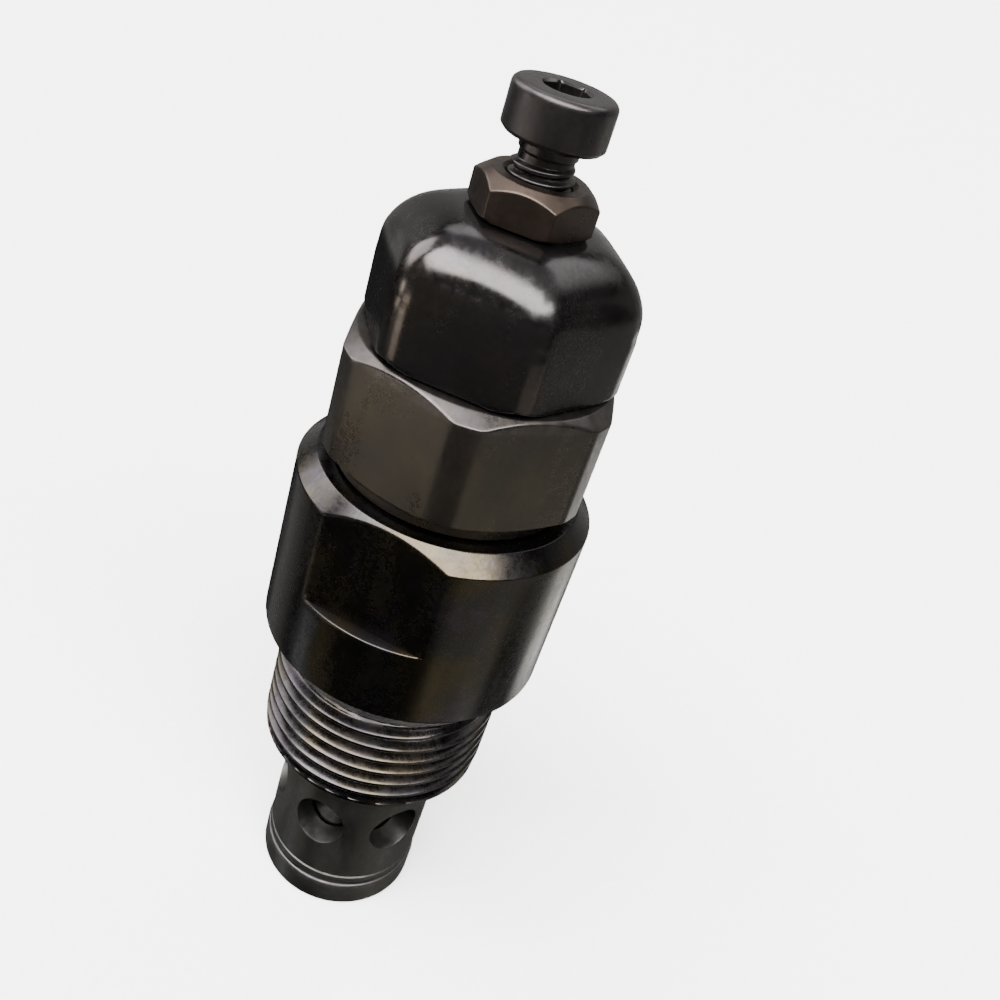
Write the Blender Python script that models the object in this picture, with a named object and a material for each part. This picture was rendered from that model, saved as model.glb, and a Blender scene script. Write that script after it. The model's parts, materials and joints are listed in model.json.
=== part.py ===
"""Screw-in hydraulic relief cartridge, built up from its separate pieces.

Frame: +Z runs along the valve's axis from the nose to the adjusting screw, the origin is
the centre of the nose's end face, and the wrench flats of the body face -Y and +Y.
The lengths below are in millimetres and MM turns them into Blender's metres.
"""
import math

import bmesh
import bpy

MM = 0.001
GAP = 0.3               # clearance kept between neighbouring pieces
ROUND = 40              # sides of the large turned pieces
SMALL_ROUND = 24        # sides of the small turned pieces
RING_ROUND = 24         # sides of an O-ring around the axis
RING_SECTION = 6        # sides of an O-ring's own section
SCREW_ROUND = 16        # sides of the adjusting screw, whose thread has many turns
PORT_SIDES = 12         # sides of a port through the sleeve

# Stations along the axis, measured up from the nose
SEAT_RING_TOP = 4.5
SLEEVE_BOTTOM = 4.8
SLEEVE_LEDGE = 52.3
SLEEVE_TOP = 56.0
BODY_BOTTOM = 28.9
THREAD_BOTTOM = 30.0
THREAD_TOP = 43.9
SHOULDER = 48.6
BODY_TOP = 77.1
PILOT_SEAT_BOTTOM = 56.3
PILOT_SEAT_TOP = 61.0
HOUSING_BOTTOM = 61.3
COLLAR_BOTTOM = 77.4
HEX_BOTTOM = 79.4
HEX_TOP = 95.1
SPIGOT_TOP = 103.0
CAP_BOTTOM = 95.4
CAP_TOP = 112.0
PLUNGER_SHOULDER = 92.0
PLUNGER_TOP = 103.6
NUT_BOTTOM = 112.3
NUT_TOP = 117.2
SCREW_TIP = 103.9
HEAD_BOTTOM = 121.4
HEAD_TOP = 127.0

# Radii and widths
NOSE_R = 11.9
SEAT_RING_R = 12.15
SLEEVE_BORE_R = 8.2
SLEEVE_FLANGE_R = 13.6
INLET_R = 6.0
PORT_R = 4.1            # radial ports through the sleeve
PORT_Z = 16.9
PORT_COUNT = 6
PORT_PHASE = math.radians(-1.5)
THREAD_CREST_R = 16.6
THREAD_ROOT_R = 15.2
THREAD_RIM_R = 16.4     # plain rim in front of the thread's first turn
THREAD_PITCH = 2.309
RELIEF_R = 14.9
SEAL_POCKET_R = 17.4    # shallow step in the shoulder above the O-ring
SEAL_POCKET_DEPTH = 0.3
BODY_R = 19.9
BODY_BORE_R = 12.2
BODY_CHAMBER_R = 14.0
BODY_FLATS = 36.0
FLATS_BOTTOM = 61.3
HOUSING_SPIGOT_R = 13.7
HOUSING_COLLAR_R = 15.6
HOUSING_HEX = 33.0
HOUSING_TURNED_R = 18.1
HOUSING_CROWN_R = 16.2  # where the hexagon's top chamfer begins
HOUSING_CHAMFER = 1.35  # and how far down it reaches
HOUSING_BORE_R = 7.2
CAP_SPIGOT_R = 11.4
CAP_HEX = 30.0
CAP_CORNER_R = 4.0
DOME_R = 16.7           # the turned dome that the cap's hexagon runs into
DOME_ROLL = 9.4         # how far in from there its top edge rolls over
DOME_RISE = 8.5
CAP_CAVITY_R = 11.7
NUT_HEX = 13.3
NUT_BORE_R = 4.2
SCREW_CREST_R = 3.9
SCREW_ROOT_R = 3.3
SCREW_PITCH = 1.25
SCREW_HEAD_R = 6.1
SOCKET_AF = 5.0
SOCKET_DEPTH = 3.0
PLUNGER_R = 6.9
POPPET_R = 7.9

# Which way the hexagons face, as the angle of one flat's normal from -Y towards +X
HOUSING_CLOCK = math.radians(-12.5)
CAP_CLOCK = math.radians(4.5)
NUT_CLOCK = math.radians(7.4)

BLACK_OXIDE = ("black_oxide", (0.035, 0.035, 0.034), 0.34, 0.85)
CAP_BLACK = ("cap_black", (0.028, 0.028, 0.029), 0.30, 0.75)
OLIVE_STEEL = ("olive_steel", (0.075, 0.068, 0.052), 0.45, 0.80)
BROWN_STEEL = ("brown_steel", (0.095, 0.075, 0.060), 0.48, 0.80)
DARK_STEEL = ("dark_steel", (0.080, 0.080, 0.078), 0.38, 0.90)
BRIGHT_STEEL = ("bright_steel", (0.52, 0.51, 0.49), 0.25, 1.0)
SPRING_STEEL = ("spring_steel", (0.20, 0.20, 0.20), 0.30, 1.0)
BLACK_RUBBER = ("black_rubber", (0.012, 0.012, 0.013), 0.55, 0.0)
WHITE_PTFE = ("white_ptfe", (0.78, 0.77, 0.73), 0.50, 0.0)


def clear_scene():
    for scene_object in list(bpy.data.objects):
        bpy.data.objects.remove(scene_object, do_unlink=True)


def material(finish):
    name, colour, roughness, metallic = finish
    found = bpy.data.materials.get(name)
    if found:
        return found
    made = bpy.data.materials.new(name)
    made.use_nodes = True
    shader = made.node_tree.nodes["Principled BSDF"]
    shader.inputs["Base Color"].default_value = (*colour, 1.0)
    shader.inputs["Roughness"].default_value = roughness
    shader.inputs["Metallic"].default_value = metallic
    return made


def add_object(name, mesh_builder, finish=None):
    """Turn a bmesh into a named object; without a finish it becomes a hidden cutter."""
    bmesh.ops.recalc_face_normals(mesh_builder, faces=mesh_builder.faces)
    mesh = bpy.data.meshes.new(name)
    mesh_builder.to_mesh(mesh)
    mesh_builder.free()
    made = bpy.data.objects.new(name, mesh)
    bpy.context.scene.collection.objects.link(made)
    if finish:
        mesh.materials.append(material(finish))
        mesh.shade_smooth()
        mesh.set_sharp_from_angle(angle=math.radians(32))
    else:
        made.hide_render = True
        made.display_type = "WIRE"
    return made


def boolean(target, cutter, operation="DIFFERENCE"):
    modifier = target.modifiers.new(cutter.name, "BOOLEAN")
    modifier.operation = operation
    modifier.solver = "EXACT"
    modifier.object = cutter


def heading(angle, radius):
    """A point on a circle, with its angle measured from -Y towards +X."""
    return radius * math.sin(angle), -radius * math.cos(angle)


def ring_of_verts(mesh_builder, radius, height, sides):
    if radius == 0:
        return [mesh_builder.verts.new((0, 0, height * MM))]
    verts = []
    for side in range(sides):
        x, y = heading(2 * math.pi * side / sides, radius * MM)
        verts.append(mesh_builder.verts.new((x, y, height * MM)))
    return verts


def bridge(mesh_builder, lower, upper):
    """Faces between two rings, either of which may be a single point on the axis."""
    count = max(len(lower), len(upper))
    for side in range(count):
        after = (side + 1) % count
        corners = []
        for vert in (
            lower[side % len(lower)],
            lower[after % len(lower)],
            upper[after % len(upper)],
            upper[side % len(upper)],
        ):
            if vert not in corners:
                corners.append(vert)
        mesh_builder.faces.new(corners)


def thread_between(mesh_builder, lower, upper, start, end, crest, pitch, root):
    """A helical thread between two rings that stand at the thread's root radius.

    Each turn has four rows: root, root, crest and crest. Column 0 is one turn longer than
    the others, because the last column meets it one turn further up.
    """
    sides = len(lower)
    rows_per_turn = 4
    row_share = (0.0, 0.28, 0.5, 0.72)
    row_radius = (root, root, crest, crest)
    turns = int((end - start) / pitch) - 1
    first = start + ((end - start) - (turns + 1) * pitch) / 2
    last_row = turns * rows_per_turn
    columns = []
    for side in range(sides):
        rows = last_row + 1 + (rows_per_turn if side == 0 else 0)
        column = []
        for row in range(rows):
            share = row // rows_per_turn + row_share[row % rows_per_turn]
            height = first + pitch * (share + side / sides)
            x, y = heading(2 * math.pi * side / sides, row_radius[row % rows_per_turn] * MM)
            column.append(mesh_builder.verts.new((x, y, height * MM)))
        columns.append(column)

    def at(side, row):
        return columns[0][row + rows_per_turn] if side == sides else columns[side][row]

    first_column = columns[0]
    for side in range(sides):
        after = (side + 1) % sides
        for row in range(last_row):
            mesh_builder.faces.new(
                (at(side, row), at(side + 1, row), at(side + 1, row + 1), at(side, row + 1))
            )
        below = [at(side + 1, 0), at(side, 0), lower[side], lower[after]]
        if after == 0:
            below += [first_column[0], first_column[1]]
        mesh_builder.faces.new(below)
        above = [upper[after], upper[side], at(side, last_row), at(side + 1, last_row)]
        if side == 0:
            above[2:2] = [first_column[last_row + rows_per_turn], first_column[last_row + 1]]
        mesh_builder.faces.new(above)
    for step in (1, last_row + 1):
        mesh_builder.faces.new(first_column[step : step + rows_per_turn])


def turned(outline, sides=ROUND, closed=True, threads=()):
    """A turned shape from (radius, height) points, listed around its section.

    closed joins the last point to the first, for a piece with a bore. threads holds
    (index, crest radius, pitch): that stretch of the outline, listed upwards, is threaded.
    """
    mesh_builder = bmesh.new()
    rings = [ring_of_verts(mesh_builder, r, z, sides) for r, z in outline]
    threaded = {index: (crest, pitch) for index, crest, pitch in threads}
    stretches = len(outline) if closed else len(outline) - 1
    for index in range(stretches):
        following = (index + 1) % len(outline)
        if index in threaded:
            crest, pitch = threaded[index]
            root, start = outline[index]
            end = outline[following][1]
            thread_between(
                mesh_builder, rings[index], rings[following], start, end, crest, pitch, root
            )
        else:
            bridge(mesh_builder, rings[index], rings[following])
    return mesh_builder


def arc(centre_r, centre_z, radius, start, end, steps):
    """Points of an arc in the (radius, height) plane, with angles in degrees."""
    points = []
    for step in range(steps + 1):
        angle = math.radians(start + (end - start) * step / steps)
        point = (centre_r + radius * math.cos(angle), centre_z + radius * math.sin(angle))
        points.append(point)
    return points


def o_ring(name, radius, height, section_r):
    section = arc(radius, height, section_r, 0, 360, RING_SECTION)[:-1]
    return add_object(name, turned(section, RING_ROUND), BLACK_RUBBER)


def flat_ring(name, inner, outer, bottom, top, finish):
    section = [(inner, bottom), (outer, bottom), (outer, top), (inner, top)]
    return add_object(name, turned(section, RING_ROUND), finish)


def coil_spring(name, radius, wire_r, bottom, top, turns, finish):
    """A helical spring whose end turns lie close together, a tenth of the wire apart."""
    steps_per_turn = 10
    wire_sides = 5
    steps = int(turns * steps_per_turn)
    low = bottom + wire_r
    rise = top - bottom - 2 * wire_r
    end_share = 2.2 * wire_r * turns / rise
    mesh_builder = bmesh.new()
    rings = []
    for step in range(steps + 1):
        share = step / steps
        eased = share - math.sin(2 * math.pi * share) / (2 * math.pi)
        height = low + rise * (end_share * share + (1 - end_share) * eased)
        angle = 2 * math.pi * turns * share
        verts = []
        for side in range(wire_sides):
            around = 2 * math.pi * side / wire_sides
            x, y = heading(angle, (radius + wire_r * math.cos(around)) * MM)
            verts.append(mesh_builder.verts.new((x, y, (height + wire_r * math.sin(around)) * MM)))
        rings.append(verts)
    for before, after in zip(rings, rings[1:]):
        bridge(mesh_builder, before, after)
    mesh_builder.faces.new(rings[0])
    mesh_builder.faces.new(rings[-1])
    return add_object(name, mesh_builder, finish)


def prism(name, corners, bottom, top):
    """A cutter: a flat outline of (x, y) corners, extruded from bottom to top."""
    mesh_builder = bmesh.new()
    base = [mesh_builder.verts.new((x * MM, y * MM, bottom * MM)) for x, y in corners]
    face = mesh_builder.faces.new(base)
    grown = bmesh.ops.extrude_face_region(mesh_builder, geom=[face])
    risen = [item for item in grown["geom"] if isinstance(item, bmesh.types.BMVert)]
    bmesh.ops.translate(mesh_builder, verts=risen, vec=(0, 0, (top - bottom) * MM))
    return add_object(name, mesh_builder)


def hexagon(across_flats, clock):
    corner_r = across_flats / 2 / math.cos(math.pi / 6)
    return [heading(clock + math.pi * (2 * side + 1) / 6, corner_r) for side in range(6)]


def rounded_hexagon(across_flats, corner_r, clock, steps=4):
    """A hexagon whose corners are arcs, as a list of (x, y) points."""
    centre_r = (across_flats / 2 - corner_r) / math.cos(math.pi / 6)
    points = []
    for corner in range(6):
        middle = clock + math.pi * (2 * corner + 1) / 6
        centre_x, centre_y = heading(middle, centre_r)
        for step in range(steps + 1):
            turn = middle + math.pi / 6 * (2 * step / steps - 1)
            x, y = heading(turn, corner_r)
            points.append((centre_x + x, centre_y + y))
    return points


def build_seat_ring():
    """The hard ring that closes the nose and carries the main poppet's seat."""
    edge = 0.5
    groove = (8.5, 5.5, 7.9)
    outline = [(INLET_R, 0.4), (INLET_R + 0.4, 0.0)]
    outline += arc(SEAT_RING_R - edge, edge, edge, -90, 0, 3)
    outline += [
        (SEAT_RING_R, SEAT_RING_TOP - 0.3),
        (SEAT_RING_R - 0.3, SEAT_RING_TOP),
        (9.9, SEAT_RING_TOP),
        (9.9, groove[1]),
        (groove[0], groove[1]),
        (groove[0], groove[2]),
        (9.9, groove[2]),
        (9.9, 9.2),
        (INLET_R + 1.2, 9.2),
        (INLET_R, 8.0),
    ]
    add_object("seat_ring", turned(outline, 32), DARK_STEEL)
    o_ring("seat_o_ring", 9.3, 6.7, 0.7)


def build_sleeve():
    """The nose: a ported sleeve that guides the main poppet."""
    outline = [
        (10.2, SLEEVE_BOTTOM),
        (NOSE_R - 0.3, SLEEVE_BOTTOM),
        (NOSE_R, SLEEVE_BOTTOM + 0.3),
        (NOSE_R, 6.1),
        (NOSE_R - 0.4, 6.3),
        (NOSE_R, 6.5),
        (NOSE_R, 36.0),
        (10.2, 36.0),
        (10.2, 39.6),
        (NOSE_R, 39.6),
        (NOSE_R, SLEEVE_LEDGE),
        (SLEEVE_FLANGE_R, SLEEVE_LEDGE),
        (SLEEVE_FLANGE_R, SLEEVE_TOP),
        (SLEEVE_BORE_R, SLEEVE_TOP),
        (SLEEVE_BORE_R, 9.5),
        (10.2, 9.5),
    ]
    sleeve = add_object("sleeve", turned(outline), DARK_STEEL)
    for port in range(PORT_COUNT):
        angle = PORT_PHASE + 2 * math.pi * port / PORT_COUNT
        mesh_builder = bmesh.new()
        near = []
        far = []
        for side in range(PORT_SIDES):
            around = 2 * math.pi * side / PORT_SIDES
            sideways = PORT_R * math.cos(around)
            height = (PORT_Z + PORT_R * math.sin(around)) * MM
            for radius, verts in ((6.0, near), (14.0, far)):
                out_x, out_y = heading(angle, radius * MM)
                side_x, side_y = heading(angle + math.pi / 2, sideways * MM)
                verts.append(mesh_builder.verts.new((out_x + side_x, out_y + side_y, height)))
        bridge(mesh_builder, near, far)
        mesh_builder.faces.new(near)
        mesh_builder.faces.new(far)
        boolean(sleeve, add_object(f"cut_port_{port + 1}", mesh_builder))
    o_ring("sleeve_o_ring", 11.15, 37.1, 0.8)
    flat_ring("sleeve_backup_ring", 10.5, 11.85, 38.2, 39.2, WHITE_PTFE)


def build_main_stage():
    """The main poppet, the orifice plug pressed into its nose, and its closing spring."""
    poppet = [
        (2.3, 7.2),
        (4.85, 7.2),
        (POPPET_R, 10.25),
        (POPPET_R, 42.0),
        (5.4, 42.0),
        (5.4, 20.0),
        (2.3, 20.0),
    ]
    add_object("main_poppet", turned(poppet, SMALL_ROUND), BRIGHT_STEEL)
    plug = [(0.6, 8.2), (2.0, 8.2), (2.0, 19.0), (1.3, 19.0), (1.3, 10.0), (0.6, 10.0)]
    add_object("orifice_plug", turned(plug, 20), BRIGHT_STEEL)
    coil_spring("main_spring", 4.1, 0.65, 20.3, PILOT_SEAT_BOTTOM + 1.2, 9, SPRING_STEEL)


def build_pilot_stage():
    """The pilot seat, its cone, the spring guide that stands on it, and the pilot spring."""
    seat = [
        (0.9, PILOT_SEAT_BOTTOM + 1.5),
        (5.6, PILOT_SEAT_BOTTOM + 1.5),
        (5.6, PILOT_SEAT_BOTTOM),
        (SLEEVE_FLANGE_R, PILOT_SEAT_BOTTOM),
        (SLEEVE_FLANGE_R, 57.5),
        (12.1, 57.5),
        (12.1, 59.8),
        (SLEEVE_FLANGE_R, 59.8),
        (SLEEVE_FLANGE_R, PILOT_SEAT_TOP),
        (1.9, PILOT_SEAT_TOP),
        (0.9, PILOT_SEAT_TOP - 1.7),
    ]
    add_object("pilot_seat", turned(seat, SMALL_ROUND), BRIGHT_STEEL)
    o_ring("pilot_seat_o_ring", 12.95, 58.65, 0.75)
    cone = [
        (0.0, 60.2),
        (0.5, 60.2),
        (3.2, 64.8),
        (3.2, 66.4),
        (4.2, 66.4),
        (4.2, 68.4),
        (2.0, 68.4),
        (2.0, 73.5),
        (0.0, 73.5),
    ]
    add_object("pilot_poppet", turned(cone, 24, closed=False), BRIGHT_STEEL)
    guide = [
        (2.3, 68.7),
        (6.4, 68.7),
        (6.4, 71.2),
        (3.4, 71.2),
        (3.4, 75.0),
        (2.3, 75.0),
    ]
    add_object("spring_guide", turned(guide, 24), DARK_STEEL)
    coil_spring("pilot_spring", 4.7, 0.85, 71.5, PLUNGER_SHOULDER - GAP, 7, SPRING_STEEL)


def build_valve_body():
    """The round body: nose thread, relief and sealing shoulder, and two wrench flats."""
    edge = 1.6
    rim = 0.3
    top_chamfer = 2.3
    outline = [
        (BODY_BORE_R + 0.5, BODY_BOTTOM),
        (THREAD_RIM_R - rim, BODY_BOTTOM),
        (THREAD_RIM_R, BODY_BOTTOM + rim),
        (THREAD_RIM_R, THREAD_BOTTOM - 0.4),
        (THREAD_ROOT_R, THREAD_BOTTOM),
        (THREAD_ROOT_R, THREAD_TOP),
        (RELIEF_R, THREAD_TOP + 0.3),
        (RELIEF_R, SHOULDER + SEAL_POCKET_DEPTH),
        (SEAL_POCKET_R, SHOULDER + SEAL_POCKET_DEPTH),
        (SEAL_POCKET_R, SHOULDER),
        (BODY_R - edge, SHOULDER),
        (BODY_R, SHOULDER + edge),
        (BODY_R, BODY_TOP - top_chamfer),
        (BODY_R - top_chamfer, BODY_TOP),
        (BODY_CHAMBER_R, BODY_TOP),
        (BODY_CHAMBER_R, SLEEVE_LEDGE - GAP),
        (BODY_BORE_R, SLEEVE_LEDGE - GAP),
        (BODY_BORE_R, BODY_BOTTOM + 0.5),
    ]
    thread = (4, THREAD_CREST_R, THREAD_PITCH)
    body = add_object("valve_body", turned(outline, threads=[thread]), BLACK_OXIDE)
    for name, side in (("front", -1), ("back", 1)):
        near = side * BODY_FLATS / 2
        far = side * (BODY_R + 4)
        corners = [(-BODY_R, near), (BODY_R, near), (BODY_R, far), (-BODY_R, far)]
        boolean(body, prism(f"cut_flat_{name}", corners, FLATS_BOTTOM, BODY_TOP + 2))
    o_ring("flange_o_ring", 16.15, SHOULDER - 1.45, 1.1)


def build_housing():
    """The spring housing: it screws into the body and has its own turned hexagon."""
    corner = 0.9
    outline = [
        (HOUSING_BORE_R, HOUSING_BOTTOM),
        (HOUSING_SPIGOT_R - 0.5, HOUSING_BOTTOM),
        (HOUSING_SPIGOT_R, HOUSING_BOTTOM + 0.5),
        (HOUSING_SPIGOT_R, 73.4),
        (12.2, 73.4),
        (12.2, 75.9),
        (HOUSING_SPIGOT_R, 75.9),
        (HOUSING_SPIGOT_R, COLLAR_BOTTOM),
        (HOUSING_COLLAR_R, COLLAR_BOTTOM),
        (HOUSING_COLLAR_R, HEX_BOTTOM),
        (HOUSING_HEX / 2 - 0.1, HEX_BOTTOM),
        (HOUSING_TURNED_R, HEX_BOTTOM + corner),
        (HOUSING_TURNED_R, HEX_TOP - HOUSING_CHAMFER),
        (HOUSING_CROWN_R, HEX_TOP),
        (CAP_SPIGOT_R, HEX_TOP),
        (CAP_SPIGOT_R, 96.2),
        (9.9, 96.2),
        (9.9, 98.5),
        (CAP_SPIGOT_R, 98.5),
        (CAP_SPIGOT_R, SPIGOT_TOP - 0.5),
        (CAP_SPIGOT_R - 0.5, SPIGOT_TOP),
        (HOUSING_BORE_R, SPIGOT_TOP),
    ]
    housing = add_object("housing", turned(outline), OLIVE_STEEL)
    corners = hexagon(HOUSING_HEX, HOUSING_CLOCK)
    envelope = prism("cut_housing_hex", corners, HOUSING_BOTTOM - 2, SPIGOT_TOP + 2)
    boolean(housing, envelope, "INTERSECT")
    o_ring("housing_o_ring", 13.05, 74.65, 0.75)
    o_ring("cap_o_ring", 10.75, 97.35, 0.7)


def build_cap():
    """The closing cap: a soft-cornered hexagon that runs into a turned dome."""
    chamfer = 0.7
    straight_top = CAP_TOP - DOME_RISE
    sections = [(DOME_R - chamfer, CAP_BOTTOM), (DOME_R, CAP_BOTTOM + chamfer)]
    steps = 7
    for step in range(steps + 1):
        angle = math.pi / 2 * step / steps
        limit = DOME_R - DOME_ROLL * (1 - math.cos(angle))
        sections.append((limit, straight_top + DOME_RISE * math.sin(angle)))
    outline = rounded_hexagon(CAP_HEX, CAP_CORNER_R, CAP_CLOCK)
    mesh_builder = bmesh.new()
    rings = []
    for limit, height in sections:
        ring = []
        for x, y in outline:
            scale = min(1.0, limit / math.hypot(x, y)) * MM
            ring.append(mesh_builder.verts.new((x * scale, y * scale, height * MM)))
        rings.append(ring)
    for lower, upper in zip(rings, rings[1:]):
        bridge(mesh_builder, lower, upper)
    mesh_builder.faces.new(rings[0])
    mesh_builder.faces.new(rings[-1])
    cap = add_object("cap", mesh_builder, CAP_BLACK)
    bore = [
        (0.0, CAP_BOTTOM - 2),
        (CAP_CAVITY_R, CAP_BOTTOM - 2),
        (CAP_CAVITY_R, SPIGOT_TOP + 0.4),
        (7.4, SPIGOT_TOP + 0.4),
        (7.4, PLUNGER_TOP + 3.0),
        (NUT_BORE_R, PLUNGER_TOP + 3.0),
        (NUT_BORE_R, CAP_TOP + 2),
        (0.0, CAP_TOP + 2),
    ]
    boolean(cap, add_object("cut_cap_bore", turned(bore, 32, closed=False)))


def build_adjuster():
    """The adjusting screw, its lock nut, and the sealed plunger that loads the spring."""
    neck = 119.7
    neck_r = 3.5
    round_edge = 0.9
    shaft = [
        (0.0, SCREW_TIP),
        (2.6, SCREW_TIP),
        (SCREW_ROOT_R, SCREW_TIP + 0.7),
        (SCREW_ROOT_R, neck),
        (neck_r, neck + 0.3),
        (neck_r, HEAD_BOTTOM),
        (SCREW_HEAD_R - 0.5, HEAD_BOTTOM),
        (SCREW_HEAD_R, HEAD_BOTTOM + 0.5),
    ]
    shaft += arc(SCREW_HEAD_R - round_edge, HEAD_TOP - round_edge, round_edge, 0, 90, 3)
    shaft += [(0.0, HEAD_TOP)]
    thread = (2, SCREW_CREST_R, SCREW_PITCH)
    screw_mesh = turned(shaft, SCREW_ROUND, closed=False, threads=[thread])
    screw = add_object("adjusting_screw", screw_mesh, BLACK_OXIDE)
    socket = hexagon(SOCKET_AF, NUT_CLOCK)
    boolean(screw, prism("cut_socket", socket, HEAD_TOP - SOCKET_DEPTH, HEAD_TOP + 2))

    nut_corner_r = NUT_HEX / 2 / math.cos(math.pi / 6)
    crown_r = 5.75
    chamfer = 1.7
    outline = [
        (NUT_BORE_R, NUT_BOTTOM),
        (nut_corner_r - 0.3, NUT_BOTTOM),
        (nut_corner_r + 0.2, NUT_BOTTOM + 0.3),
        (nut_corner_r + 0.2, NUT_TOP - chamfer),
        (crown_r, NUT_TOP),
        (NUT_BORE_R + 0.5, NUT_TOP),
        (NUT_BORE_R, NUT_TOP - 0.5),
    ]
    nut = add_object("lock_nut", turned(outline, SMALL_ROUND), BROWN_STEEL)
    corners = hexagon(NUT_HEX, NUT_CLOCK)
    boolean(nut, prism("cut_nut_hex", corners, NUT_BOTTOM - 2, NUT_TOP + 2), "INTERSECT")

    plunger = [
        (0.0, PLUNGER_SHOULDER - 3.5),
        (3.4, PLUNGER_SHOULDER - 3.5),
        (3.4, PLUNGER_SHOULDER),
        (PLUNGER_R, PLUNGER_SHOULDER),
        (PLUNGER_R, 97.5),
        (4.9, 97.5),
        (4.9, 101.2),
        (PLUNGER_R, 101.2),
        (PLUNGER_R, PLUNGER_TOP - 0.5),
        (PLUNGER_R - 0.5, PLUNGER_TOP),
        (0.0, PLUNGER_TOP),
    ]
    add_object("plunger", turned(plunger, SMALL_ROUND, closed=False), DARK_STEEL)
    o_ring("plunger_o_ring", 6.0, 98.6, 0.85)
    flat_ring("plunger_backup_ring", 5.2, 6.8, 99.8, 100.9, WHITE_PTFE)


def main():
    clear_scene()
    build_seat_ring()
    build_sleeve()
    build_main_stage()
    build_pilot_stage()
    build_valve_body()
    build_housing()
    build_cap()
    build_adjuster()


main()
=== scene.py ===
"""Looks of the screw-in relief cartridge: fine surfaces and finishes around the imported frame.

The frame stands nose down on the floor, +Z along the valve's axis and the wrench flats facing
-Y and +Y. Lengths are written in millimetres, and MM turns them into metres. An angle around
the axis is measured from -Y towards +X, in degrees.
"""
import json
import math

import bmesh
import bpy
import numpy as np
from mathutils import Matrix, Vector


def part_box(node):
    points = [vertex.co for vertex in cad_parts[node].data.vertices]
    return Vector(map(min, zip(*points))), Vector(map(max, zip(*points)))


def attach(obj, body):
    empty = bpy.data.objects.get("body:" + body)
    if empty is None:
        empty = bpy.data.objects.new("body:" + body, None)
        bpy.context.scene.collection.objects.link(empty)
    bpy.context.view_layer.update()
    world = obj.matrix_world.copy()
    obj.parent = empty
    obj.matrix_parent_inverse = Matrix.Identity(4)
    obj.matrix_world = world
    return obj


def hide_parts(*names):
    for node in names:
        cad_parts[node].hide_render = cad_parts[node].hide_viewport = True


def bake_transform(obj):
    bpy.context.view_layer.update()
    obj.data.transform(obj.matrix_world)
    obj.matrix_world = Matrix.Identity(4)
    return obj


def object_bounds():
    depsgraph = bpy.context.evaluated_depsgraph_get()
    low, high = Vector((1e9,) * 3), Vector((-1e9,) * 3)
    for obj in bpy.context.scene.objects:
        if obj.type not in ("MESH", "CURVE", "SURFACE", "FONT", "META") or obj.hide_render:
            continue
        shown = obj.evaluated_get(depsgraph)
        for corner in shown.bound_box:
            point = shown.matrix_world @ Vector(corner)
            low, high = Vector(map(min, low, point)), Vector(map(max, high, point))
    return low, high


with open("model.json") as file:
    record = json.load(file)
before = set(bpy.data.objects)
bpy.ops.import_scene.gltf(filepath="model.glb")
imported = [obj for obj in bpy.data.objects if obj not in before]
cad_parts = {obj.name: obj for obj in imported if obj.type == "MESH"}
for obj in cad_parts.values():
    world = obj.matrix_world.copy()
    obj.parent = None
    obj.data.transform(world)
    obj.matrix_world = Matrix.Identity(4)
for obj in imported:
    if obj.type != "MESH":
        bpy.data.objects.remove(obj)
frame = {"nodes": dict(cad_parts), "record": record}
CAD_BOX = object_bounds()

MM = 0.001
FLATTED_SIDES = 480     # columns of the body and of the housing
SIDES = 360             # columns of the lock nut
SMALL_SIDES = 240       # columns of the other turned pieces
SPRING_STEPS = 48       # steps of a spring's turn
WIRE_SIDES = 16         # sides of a spring's wire


def millimetres(node):
    """The lowest and highest corners of a CAD node at rest, in millimetres."""
    low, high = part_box(node)
    return low / MM, high / MM


# Stations and radii read from the frame
HEAD_TOP = millimetres("adjusting_screw")[1].z
SCREW_TIP = millimetres("adjusting_screw")[0].z
HEAD_R = millimetres("adjusting_screw")[1].x
NUT_BOTTOM = millimetres("lock_nut")[0].z
NUT_TOP = millimetres("lock_nut")[1].z
CAP_BOTTOM = millimetres("cap")[0].z
CAP_TOP = millimetres("cap")[1].z
HOUSING_BOTTOM = millimetres("housing")[0].z
SPIGOT_TOP = millimetres("housing")[1].z
BODY_BOTTOM = millimetres("valve_body")[0].z
BODY_TOP = millimetres("valve_body")[1].z
BODY_R = millimetres("valve_body")[1].x
SLEEVE_BOTTOM = millimetres("sleeve")[0].z
SLEEVE_TOP = millimetres("sleeve")[1].z
SEAT_RING_TOP = millimetres("seat_ring")[1].z
POPPET_BOTTOM = millimetres("main_poppet")[0].z
POPPET_TOP = millimetres("main_poppet")[1].z

# Stations and radii inside those pieces, as the CAD model has them
HEAD_BOTTOM = 121.4
NECK_BOTTOM = 119.7
NECK_R = 3.5
SCREW_CREST_R = 3.9
SCREW_ROOT_R = 3.25
SCREW_PITCH = 1.25
SOCKET_AF = 5.0
SOCKET_DEPTH = 3.0
NUT_HEX = 13.3
NUT_BORE_R = 3.95       # nearer the screw's thread than in the CAD model
NUT_CLOCK = 7.4
CAP_HEX = 30.0
CAP_CORNER_R = 4.0
CAP_CLOCK = 4.5
CAP_CAVITY_R = 11.7
DOME_R = 16.7
DOME_ROLL = 9.4
DOME_RISE = 8.5
HOUSING_HEX = 33.0
HOUSING_TURNED_R = 18.1
HOUSING_CROWN_R = 16.2
HOUSING_CHAMFER = 1.35
HOUSING_CLOCK = -12.5
COLLAR_BOTTOM = 77.4
COLLAR_R = 15.6
HEX_BOTTOM = 79.4
HEX_TOP = 95.1
BODY_FLATS = 36.0
FLATS_BOTTOM = 61.3
SHOULDER = 48.6
THREAD_TOP = 43.9
THREAD_CREST_R = 16.6
THREAD_ROOT_R = 15.2
THREAD_RIM_R = 16.4
THREAD_PITCH = 2.309
RELIEF_R = 14.9
BODY_BORE_R = 12.2
BODY_CHAMBER_R = 14.0
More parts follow.
